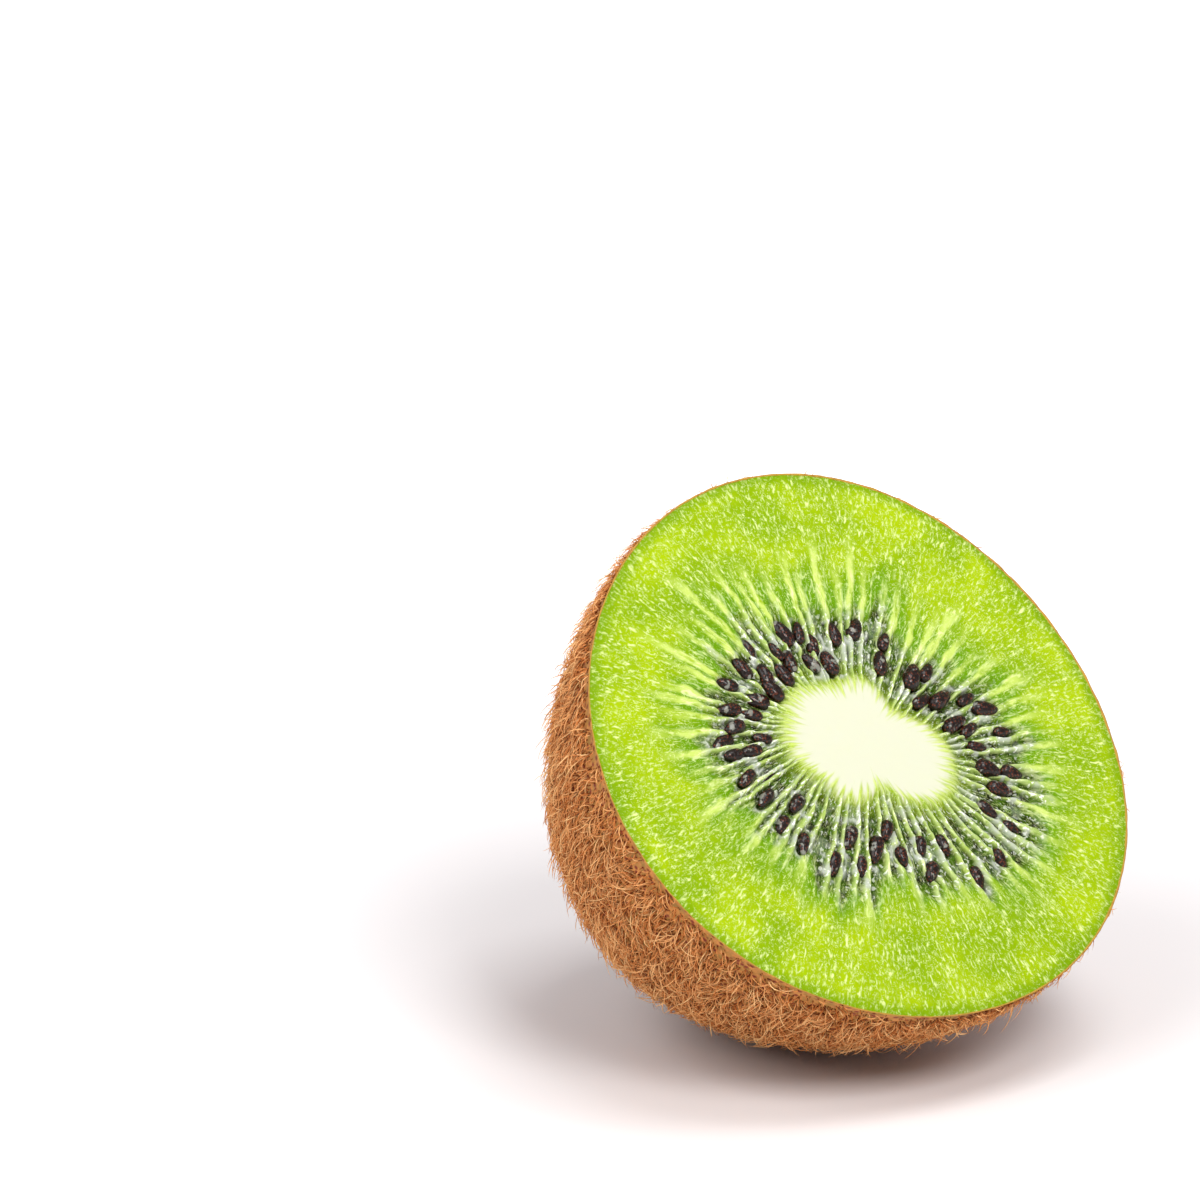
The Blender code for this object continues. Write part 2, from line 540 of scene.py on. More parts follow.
@dataclass(frozen=True)
class CutPulp(Finish):
    """Ripe kiwi flesh sliced with a sharp knife.

    The knife opens rows of small juice cells: clear, saturated green where one lies open, and
    pale where a cell wall stands up. So the eye sees a vivid green with short pale strokes,
    partly those walls and partly painted glints of the wet film, small white beads of painted
    glint, and a wet film that glints on every edge.
    """

    open_cell: str = "#7C9E00"
    mid_cell: str = "#9AB402"
    lane: str = "#5E8C02"
    streak: str = "#BACE64"
    # the pale strokes are partly cell walls and partly painted glints of the wet film
    pale_stroke_and_glint: str = "#D2E092"
    rim: str = "#6A9002"
    # the two pulp colours also paint shade in the seed beds round the seeds
    deep_pulp_and_shade: str = "#141802"
    clear_pulp_and_shade: str = "#3A5A04"
    wall: str = "#ACBE7E"
    fibre: str = "#DEEAA8"
    jelly: str = "#B2B8AC"
    painted_glint: str = "#F2F6E8"
    pale_heart: str = "#CCCEB6"
    green_heart: str = "#C6D080"
    heart_part: tuple[float, float] = (0.3, 0.98)  # the core's amount, from green to pale
    patch_mm: float = 5.0  # paler and greener patches
    pulp_mm: float = 0.8
    patch_part: tuple[float, float] = (0.36, 0.64)  # a noise's values between the two colours
    stroke_mm: float = 0.18  # breadth of one cell; its pale stroke, a wall partly brightened by painted glints, is about half of that
    stroke_length_mm: float = 0.6
    stroke_radius_mm: float = 16.0  # where a stroke is as broad as said above
    stroke_part: tuple[float, float] = (0.53, 0.74)  # a noise's values from a peak's foot to top
    squiggle_mm: float = 0.25  # loops of torn cell wall, partly painted glints of the wet film
    squiggle_share: float = 0.8
    squiggle_line: tuple[float, float] = (0.01, 0.065)  # half a line's core and its edge
    squiggle_part: tuple[float, float] = (0.44, 0.64)
    fibre_mm: float = 0.3
    fibre_length_mm: float = 2.0
    # painted glints: small white beads of light on the wet ribs
    painted_glint_mm: float = 0.17
    painted_glint_length_mm: float = 0.4
    painted_glint_part: tuple[float, float] = (0.57, 0.65)
    relief: float = 0.06 * MM
    rib_radius_mm: float = 9.0  # where a fibre or a painted glint is as broad as said above

    def make(self) -> bpy.types.Material:
        """Make the material.

        Returns:
            A material that reads the colour amounts that the cut's mesh carries.
        """
        material, tree, shader = self.start("cut_pulp")
        place = add_node(tree, "ShaderNodeTexCoord").outputs["Object"]
        amount = {
            name: add_node(tree, "ShaderNodeAttribute", attribute_name=name).outputs["Fac"]
            for name in CutFace.AMOUNTS
        }
        ground = self._patches(tree, place, self.patch_mm, self.open_cell, self.mid_cell)
        pulp = self._patches(tree, place, self.pulp_mm, self.deep_pulp_and_shade, self.clear_pulp_and_shade)
        fibre_run = self._along(tree, self.rib_radius_mm / self.fibre_mm, self.fibre_length_mm)
        painted_glint_run = self._along(tree, self.rib_radius_mm / self.painted_glint_mm, self.painted_glint_length_mm)
        strewn = {
            "plain": self._strokes(tree, place),
            "fibre": self._squiggles(tree, fibre_run, 1.0, 1.0),
            "beads": self._peaks(tree, painted_glint_run, 1.0, *self.painted_glint_part),
        }
        for name, pattern in strewn.items():
            inputs = {0: pattern, 1: amount[name]}
            product = add_node(tree, "ShaderNodeMath", inputs, operation="MULTIPLY")
            amount[name] = product.outputs[0]
        heart_stops = list(zip(self.heart_part, (self.green_heart, self.pale_heart)))
        firm = add_node(tree, "ShaderNodeValToRGB", {0: amount["heart"]}, stops=heart_stops)
        # painted light among these layers: the dark pulp also paints shade in the seed beds, the
        # pale strokes are partly and the white beads wholly painted glints
        layers = (
            (amount["lane"], self.lane),
            (amount["rim"], self.rim),
            (amount["streak"], self.streak),
            (amount["dark"], pulp),
            (amount["wall"], self.wall),
            (amount["plain"], self.pale_stroke_and_glint),
            (amount["fibre"], self.fibre),
            (amount["jelly"], self.jelly),
            (amount["beads"], self.painted_glint),
            (amount["heart"], firm.outputs["Color"]),
        )
        raised = {"Strength": 0.5, "Distance": self.relief, "Height": amount["plain"]}
        bump = add_node(tree, "ShaderNodeBump", raised)
        for name, setting in {
            "Roughness": 0.4,
            "IOR": 1.36,
            "Specular IOR Level": 0.08,
            "Subsurface Weight": 0.12,
            "Subsurface Radius": (1.0, 1.4, 0.3),
            "Subsurface Scale": 0.6 * MM,
            "Coat Weight": 0.1,
            "Coat Roughness": 0.12,
            "Coat IOR": 1.34,
        }.items():
            shader.inputs[name].default_value = setting
        tree.links.new(self.layered(tree, ground, layers), shader.inputs["Base Color"])
        tree.links.new(bump.outputs[0], shader.inputs["Normal"])
        return material

    def _patches(
        self, tree: bpy.types.NodeTree, place: Socket, size_mm: float, low: str, high: str
    ) -> Socket:
        """Mix two colours in soft patches of one size.

        Args:
            tree: The material's nodes.
            place: The socket with the place on the fruit.
            size_mm: Size of a patch.
            low: One colour.
            high: The other colour.

        Returns:
            The mixed colour's socket.
        """
        inputs = {"Vector": place, "Scale": PER_MM / size_mm, "Detail": 2.0}
        patches = add_node(tree, "ShaderNodeTexNoise", inputs).outputs["Fac"]
        stops = list(zip(self.patch_part, (low, high)))
        return add_node(tree, "ShaderNodeValToRGB", {0: patches}, stops=stops).outputs["Color"]

    def _along(self, tree: bpy.types.NodeTree, per_radian: float, length_mm: float) -> Socket:
        """Stretch the place in the fan, for patterns that run out from the core.

        Args:
            tree: The material's nodes.
            per_radian: Cells of the pattern for each radian.
            length_mm: Length of one cell outwards.

        Returns:
            The socket of the stretched place.
        """
        fan = add_node(tree, "ShaderNodeAttribute", attribute_name="fan").outputs["Vector"]
        inputs = {0: fan, 1: (per_radian, per_radian, 1.0 / length_mm)}
        return add_node(tree, "ShaderNodeVectorMath", inputs, operation="MULTIPLY").outputs[0]

    def _peaks(
        self, tree: bpy.types.NodeTree, where: Socket, scale: float, low: float, high: float
    ) -> Socket:
        """Keep only the peaks of a noise.

        Args:
            tree: The material's nodes.
            where: The socket with the place in the pattern.
            scale: The noise's scale.
            low: The noise's value where a peak starts.
            high: The noise's value where a peak is full.

        Returns:
            A socket that is 1 on a peak and 0 between peaks.
        """
        inputs = {
            "Vector": where,
            "Scale": scale,
            "Detail": 1.5,
            "Roughness": 0.6,
            "Distortion": 0.35,
        }
        cells = add_node(tree, "ShaderNodeTexNoise", inputs).outputs["Fac"]
        inputs = {0: cells, 1: low, 2: high}
        return add_node(
            tree, "ShaderNodeMapRange", inputs, interpolation_type="SMOOTHSTEP"
        ).outputs[0]

    def _squiggles(
        self, tree: bpy.types.NodeTree, where: Socket, scale: float, share: float
    ) -> Socket:
        """Draw thin broken loops where a noise crosses its middle.

        Args:
            tree: The material's nodes.
            where: The socket with the place in the pattern.
            scale: The noise's scale.
            share: How much of the colour below a line covers.

        Returns:
            A socket that is up to that share on a line and 0 elsewhere.
        """
        inputs = {"Vector": where, "Scale": scale, "Detail": 1.0, "Distortion": 0.3}
        cells = add_node(tree, "ShaderNodeTexNoise", inputs).outputs["Fac"]
        above = add_node(tree, "ShaderNodeMath", {0: cells, 1: 0.5}, operation="SUBTRACT")
        away = add_node(tree, "ShaderNodeMath", {0: above.outputs[0]}, operation="ABSOLUTE")
        full_to, line_to = self.squiggle_line
        inputs = {0: away.outputs[0], 1: full_to, 2: line_to, 3: share, 4: 0.0}
        line = add_node(tree, "ShaderNodeMapRange", inputs, interpolation_type="SMOOTHSTEP")
        inputs = {0: line.outputs[0], 1: self._peaks(tree, where, 0.8 * scale, *self.squiggle_part)}
        return add_node(tree, "ShaderNodeMath", inputs, operation="MULTIPLY").outputs[0]

    def _strokes(self, tree: bpy.types.NodeTree, place: Socket) -> Socket:
        """Make the short pale strokes: cell walls, partly painted glints of the wet film.

        Args:
            tree: The material's nodes.
            place: The socket with the place on the fruit.

        Returns:
            A socket that is 1 on a stroke and 0 between strokes.
        """
        per_radian = self.stroke_radius_mm / self.stroke_mm
        along = self._along(tree, per_radian, self.stroke_length_mm)
        inputs = {
            0: self._peaks(tree, along, 1.0, *self.stroke_part),
            1: self._squiggles(tree, place, PER_MM / self.squiggle_mm, self.squiggle_share),
        }
        return add_node(tree, "ShaderNodeMath", inputs, operation="MAXIMUM").outputs[0]


@dataclass(frozen=True)
class Rind(Finish):
    """Thin kiwi skin, dried to a papery bark with rusty specks, as it grew on the vine.

    It is matt and tan with olive blotches, and golden where the knife went through.
    """

    tan: str = "#C8823E"
    olive: str = "#98702E"
    speck: str = "#7A2808"
    edge: str = "#B08A2C"
    blotch_mm: float = 0.9
    blotch_part: tuple[float, float] = (0.38, 0.62)  # a noise's values from olive to tan
    speck_mm: float = 0.62  # from one speck to the next
    speck_part: tuple[float, float] = (0.18, 0.46)  # a speck's dark part and its edge, of that
    relief: float = 0.08 * MM

    def make(self) -> bpy.types.Material:
        """Make the material.

        Returns:
            A material that reads how near the knife's edge each point of the skin is.
        """
        material, tree, shader = self.start("kiwi_rind")
        place = add_node(tree, "ShaderNodeTexCoord").outputs["Object"]
        inputs = {
            "Vector": place,
            "Scale": PER_MM / self.blotch_mm,
            "Detail": 4.0,
            "Roughness": 0.7,
        }
        blotch = add_node(tree, "ShaderNodeTexNoise", inputs).outputs["Fac"]
        stops = list(zip(self.blotch_part, (self.olive, self.tan)))
        ground = add_node(tree, "ShaderNodeValToRGB", {0: blotch}, stops=stops).outputs["Color"]
        inputs = {"Vector": place, "Scale": PER_MM / self.speck_mm}
        from_speck = add_node(tree, "ShaderNodeTexVoronoi", inputs).outputs["Distance"]
        dark_to, edge_to = self.speck_part
        inputs = {0: from_speck, 1: dark_to, 2: edge_to, 3: 1.0, 4: 0.0}
        specks = add_node(tree, "ShaderNodeMapRange", inputs, interpolation_type="SMOOTHSTEP")
        edge = add_node(tree, "ShaderNodeAttribute", attribute_name="edge").outputs["Fac"]
        layers = ((specks.outputs[0], self.speck), (edge, self.edge))
        raised = {"Strength": 0.6, "Distance": self.relief, "Height": from_speck}
        bump = add_node(tree, "ShaderNodeBump", raised, invert=True)
        shader.inputs["Roughness"].default_value = 0.75
        shader.inputs["IOR"].default_value = 1.45
        tree.links.new(self.layered(tree, ground, layers), shader.inputs["Base Color"])
        tree.links.new(bump.outputs[0], shader.inputs["Normal"])
        return material


@dataclass(frozen=True)
class DryHair(Finish):
    """The fruit's own plant hairs, dried where they grew: hollow and matt, tan to straw.

    Each is darkened towards the root as painted shade deep in the coat, so the coat looks rusty
    deep down and golden at the tips.
    """

    # painted shade deep in the coat, at each hair's root
    root: str = "#6A2A08"
    rusty: str = "#B85E20"
    tan: str = "#E89E5E"
    straw: str = "#FFD496"
    tan_at: float = 0.45  # the tan's place between rusty at 0 and straw at 1
    root_shade_share: float = 0.45  # how far up a hair the painted root shade fades out

    def make(self) -> bpy.types.Material:
        """Make the material.

        Returns:
            A material whose colour goes by hair along the map and by height up the map.
        """
        material, tree, shader = self.start("dry_hair")
        spot = add_node(tree, "ShaderNodeUVMap", uv_map=BAKE_MAP).outputs[0]
        spot = add_node(tree, "ShaderNodeSeparateXYZ", {0: spot}).outputs
        stops = [(0.0, self.rusty), (self.tan_at, self.tan), (1.0, self.straw)]
        tone = add_node(tree, "ShaderNodeValToRGB", {0: spot["X"]}, stops=stops)
        inputs = {0: spot["Y"], 1: 0.0, 2: self.root_shade_share, 3: 1.0, 4: 0.0}
        root_shade = add_node(tree, "ShaderNodeMapRange", inputs, interpolation_type="SMOOTHSTEP")
        layers = ((root_shade.outputs[0], self.root),)
        colour = self.layered(tree, tone.outputs["Color"], layers)
        shader.inputs["Roughness"].default_value = 0.6
        shader.inputs["Specular IOR Level"].default_value = 0.06
        tree.links.new(colour, shader.inputs["Base Color"])
        return material


@dataclass(frozen=True)
class SeedCoat(Finish):
    """A kiwi seed's hard netted coat, still wet, with shreds of clear jelly drying on it.

    It is a black-brown with a fine rusty net, lighter on its ridges partly by painted sheen, and
    glossy where the juice lies on it.
    """

    coat: str = "#150804"
    # the net's own rusty colour, brightened by painted sheen where its ridges catch the light
    ridge_and_sheen: str = "#6A2E16"
    jelly: str = "#9C9E92"
    net_mm: float = 0.24  # ten meshes of the net along a seed, as grown
    net_part: tuple[float, float] = (0.12, 0.42)
    shred_mm: float = 0.8
    shred_part: tuple[float, float] = (0.60, 0.66)
    shred_share: float = 0.6
    relief: float = 0.09 * MM

    def make(self) -> bpy.types.Material:
        """Make the material.

        Returns:
            A netted material that depends on the place alone.
        """
        material, tree, shader = self.start("seed_coat")
        place = add_node(tree, "ShaderNodeTexCoord").outputs["Object"]
        inputs = {"Vector": place, "Scale": PER_MM / self.net_mm}
        net = add_node(tree, "ShaderNodeTexVoronoi", inputs).outputs["Distance"]
        stops = list(zip(self.net_part, (self.ridge_and_sheen, self.coat)))
        ground = add_node(tree, "ShaderNodeValToRGB", {0: net}, stops=stops).outputs["Color"]
        inputs = {"Vector": place, "Scale": PER_MM / self.shred_mm, "Detail": 3.0}
        shreds = add_node(tree, "ShaderNodeTexNoise", inputs).outputs["Fac"]
        bare_to, shred_from = self.shred_part
        inputs = {0: shreds, 1: bare_to, 2: shred_from, 3: 0.0, 4: self.shred_share}
        milky = add_node(tree, "ShaderNodeMapRange", inputs, interpolation_type="SMOOTHSTEP")
        layers = ((milky.outputs[0], self.jelly),)
        raised = {"Strength": 1.0, "Distance": self.relief, "Height": net}
        bump = add_node(tree, "ShaderNodeBump", raised, invert=True)
        for name, setting in {
            "Roughness": 0.35,
            "IOR": 1.45,
            "Specular IOR Level": 0.2,
            "Coat Weight": 0.35,
            "Coat Roughness": 0.06,
        }.items():
            shader.inputs[name].default_value = setting
        tree.links.new(self.layered(tree, ground, layers), shader.inputs["Base Color"])
        tree.links.new(bump.outputs[0], shader.inputs["Normal"])
        return material


@dataclass(frozen=True)
class WhitePaper(Finish):
    """Smooth white background paper, with a painted glow that grows further off.

    So the fruit has a short soft shadow, and everything round it is white.
    """

    paper: str = "#F7F5F5"
    # painted glow: the paper shines by itself away from the fruit, which shortens the fruit's shadow
    painted_glow: str = "#FFFCFC"
    painted_glow_near: float = 0.0
    painted_glow_far: float = 1.0
    painted_glow_from: float = 0.02  # metres from the fruit's middle where the painted glow starts
    painted_glow_to: float = 0.25  # and where it is full

    def make(self) -> bpy.types.Material:
        """Make the material.

        Returns:
            A material with a painted glow that is brighter the further it is from the fruit.
        """
        material, tree, shader = self.start("white_paper")
        shader.inputs["Base Color"].default_value = linear(self.paper)
        shader.inputs["Roughness"].default_value = 0.35
        shader.inputs["Emission Color"].default_value = linear(self.painted_glow)
        place = add_node(tree, "ShaderNodeTexCoord").outputs["Object"]
        away = add_node(tree, "ShaderNodeVectorMath", {0: place}, operation="LENGTH")
        inputs = {
            0: away.outputs["Value"],
            1: self.painted_glow_from,
            2: self.painted_glow_to,
            3: self.painted_glow_near,
            4: self.painted_glow_far,
        }
        painted_glow = add_node(tree, "ShaderNodeMapRange", inputs, interpolation_type="SMOOTHSTEP")
        tree.links.new(painted_glow.outputs[0], shader.inputs["Emission Strength"])
        return material


# ---------------------------------------------------------------------------------------------
# The cut face
# ---------------------------------------------------------------------------------------------


@dataclass(frozen=True)
class Rib:
    """One thin wall between two seed chambers, with the pale streak that it ends in."""

    turn: float
    strength: float
    reach_mm: float  # where the streak has died out, from the core's edge


@dataclass(frozen=True)
class Seed:
    """One seed: where it lies on the cut, how it is turned and how big it is."""

    spot: Array
    along: float  # direction of its long axis
    length: float
    width: float
    sink: float  # depth of its middle below the flesh around it


@dataclass
class Cut:
    """The plane of the cut: streaks that fan out from the core's edge to the skin."""

    body: Body
    core: Oval = Oval(
        long_half=8.0 * MM,
        short_half=5.1 * MM,
        turn=math.radians(-28),
        lobes=(
            (1, 0.2 * MM, -16.0),
            (3, 0.6 * MM, -36.0),
            (4, 0.35 * MM, -35.0),
            (6, 0.3 * MM, 0.0),
        ),
    )
    skin_thickness: float = 0.14 * MM
    rib_count: int = 64
    swell_height: float = 1.15 * MM  # the seed chambers reach further out on one side
    swell_turn: float = math.radians(-80)

    def swell(self, turn: Array | float) -> Array:
        """Give how much further out the seed chambers reach at each turn."""
        return self.swell_height * np.cos(turn - self.swell_turn)

    def foot(self, turn: Array) -> Array:
        """Give the start of each streak, on the core's edge.

        Args:
            turn: Which streak, as an angle.

        Returns:
            Points in the plane of the cut.
        """
        angle = self.core.fanned(turn)
        reach = self.core.reach(angle)
        return np.stack([reach * np.cos(angle), reach * np.sin(angle)], axis=-1)

    def head(self, turn: Array) -> Array:
        """Give the end of each streak, just inside the skin."""
        reach = self.body.outline.reach(turn) - self.skin_thickness
        return np.stack([reach * np.cos(turn), reach * np.sin(turn)], axis=-1)

    def spot(self, turn: Array, distance: Array) -> Array:
        """Give points on the cut.

        Args:
            turn: Which streak, as an angle.
            distance: How far out from the core's edge along it.

        Returns:
            Points in the plane of the cut.
        """
        foot, head = self.foot(turn), self.head(turn)
        return foot + unit(head - foot) * distance[..., None]

    def run(self, turn: Array) -> Array:
        """Give the length of each streak from the core's edge to the skin."""
        return np.linalg.norm(self.head(turn) - self.foot(turn), axis=-1)

    def breadth(self, turn: Array, distance: Array) -> Array:
        """Give how far apart two streaks lie, for each radian between them.

        Args:
            turn: Which streak, as an angle.
            distance: How far out from the core's edge along it.

        Returns:
            Lengths, one for each point.
        """
        step = 1e-3
        apart = self.spot(turn + step, distance) - self.spot(turn - step, distance)
        return np.linalg.norm(apart, axis=-1) / (2 * step)

    def ribs(self) -> list[Rib]:
        """Give the walls between the seed chambers.

        Returns:
            The walls in order around the core, uneven as they grow.
        """
        rng = np.random.default_rng(11)
        pitch = TURN / self.rib_count
        longest_side = math.radians(100)
        return [
            Rib(
                turn=(number + rng.uniform(-0.3, 0.3)) * pitch,
                strength=rng.uniform(0.55, 1.0),
                reach_mm=rng.uniform(10.0, 14.0) + 1.4 * math.cos(number * pitch - longest_side),
            )
            for number in range(self.rib_count)
        ]


@dataclass
class Seeds:
    """The ring of seeds that the knife laid bare, one or two in a chamber."""

    cut: Cut
    around: int = 20
    along: int = 14
    inner_row: float = 3.1 * MM
    outer_row: float = 5.4 * MM
    row_scatter: float = 0.75 * MM
    length: float = 2.35 * MM
    width: float = 1.3 * MM
    half_thickness: float = 0.4  # as a share of the width
    bluntness: float = 0.85  # 1 would be an ellipse; less makes the ends blunter
    narrowing: float = 0.22  # one end is this share slimmer than the middle, the other thicker
    nearest: float = 1.35 * MM  # two seeds lie no closer than this
    empty_share: float = 0.12
    double_share: float = 0.28
    ground: float = -0.2 * MM  # height of the flesh that they lie in
    bare: list[Seed] = field(init=False)

    def __post_init__(self) -> None:
        """Choose where the seeds lie."""
        self.bare = self._choose()

    def build(self, placing: Placing) -> None:
        """Build the seeds and dress them in their coat."""
        log.info("%d seeds lie bare", len(self.bare))
        placing.put("seeds", self._shape(), SeedCoat().make(), Slot.SEED)

    def _choose(self) -> list[Seed]:
        """Choose the seeds.

        Returns:
            The seeds, in order around the core.
        """
        rng = np.random.default_rng(5)
        turns = np.array([rib.turn for rib in self.cut.ribs()])
        ahead = np.append(turns[1:], turns[0] + TURN)
        chosen = []
        for number, turn in enumerate((turns + ahead) / 2):
            pick = rng.random()
            rows = [self.inner_row, self.outer_row]
            if pick > self.double_share:
                rows = [rows[(number + (rng.random() < 0.25)) % 2]]
            if pick > 1.0 - self.empty_share:
                rows = []
            for row in rows:
                distance = row + rng.uniform(-1, 1) * self.row_scatter + self.cut.swell(turn)
                here, out = self.cut.spot(np.full(2, turn), np.array([distance, distance + MM]))
                if any(np.linalg.norm(here - other.spot) < self.nearest for other in chosen):
                    continue
                direction = math.atan2(out[1] - here[1], out[0] - here[0])
                size = rng.uniform(0.75, 1.12)
                chosen.append(
                    Seed(
                        spot=here,
                        along=direction + rng.normal(0.0, 0.25),
                        length=self.length * size,
                        width=self.width * size * rng.uniform(0.85, 1.1),
                        sink=rng.choice([0.0, 0.12, 0.30, 0.45], p=[0.4, 0.3, 0.2, 0.1]) * MM,
                    )
                )
        return chosen

    def _shape(self) -> Shape:
        """Join all seeds into one mesh.

        Returns:
            One shape that is made of closed drops.
        """
        points, fans, quads, maps = [], [], [], []
        start = 0
        for seed in self.bare:
            drop = self._drop(seed)
            points.append(drop.points)
            fans += [drop.faces[0] + start, drop.faces[2] + start]
            quads.append(drop.faces[1] + start)
            maps.append(drop.corner_map)
            start += len(drop.points)
        faces = [np.concatenate(fans), np.concatenate(quads)]
        corner_map = [
            np.concatenate([part for m in maps for part in (m[0], m[2])]),
            np.concatenate([m[1] for m in maps]),
        ]
        return Shape(np.concatenate(points), faces, corner_map)

    def _drop(self, seed: Seed) -> Shape:
        """Make one seed: a flattened drop with a blunt and a narrow end.

        Args:
            seed: Where it lies and how big it is.

        Returns:
            A closed shape, pitted a little differently for each seed.
        """
        turn = TURN * np.arange(self.around) / self.around
        sweep = math.pi * (np.arange(self.along) + 1) / (self.along + 1)
        lengthwise = np.cos(sweep)[:, None] * np.ones(self.around)
        girth = np.sin(sweep)[:, None] ** self.bluntness * (1.0 - self.narrowing * lengthwise)
        first = 7.0 * seed.spot.sum() * PER_MM  # the pits start elsewhere on each seed
        pits = 1.0 - 0.06 * np.cos(5 * sweep + first)[:, None] * np.cos(5 * turn + first)
        pits = pits + 0.07 * np.cos(2 * sweep + first)[:, None] * np.cos(2 * turn - first)
        local = np.stack(
            [
                lengthwise * seed.length / 2,
                girth * pits * np.cos(turn) * seed.width / 2,
                girth * pits * np.sin(turn) * seed.width * self.half_thickness,
            ],
            axis=-1,
        )
        ends = np.array([[seed.length / 2, 0, 0], [-seed.length / 2, 0, 0]])
        cos, sin = math.cos(seed.along), math.sin(seed.along)
        rotation = np.array([[cos, -sin, 0], [sin, cos, 0], [0, 0, 1]])
        centre = np.array([*seed.spot, self.ground - seed.sink])
        reaches = np.linspace(0.0, HALF_MAP, self.along + 2)
        return loft(
            ends[0] @ rotation.T + centre,
            local @ rotation.T + centre,
            ends[1] @ rotation.T + centre,
            reaches,
        )


@dataclass(frozen=True)
class Grain:
    """Noise drawn out along the streaks, as the flesh's cells run."""

    around: float  # patches on a radian
    length_mm: float
    seed: int

    def over(self, turn: Array, out: Array) -> Array:
        """Give the noise over the cut.

        Args:
            turn: Which streak each point is on.
            out: Millimetres out from the core's edge.

        Returns:
            Values in -0.5 to 0.5.
        """
        ring = np.stack([np.cos(turn), np.sin(turn)], axis=-1)
        at = np.concatenate([ring * self.around, (out / self.length_mm)[..., None]], axis=-1)
        return layered_noise(at, self.seed, 2) - 0.5


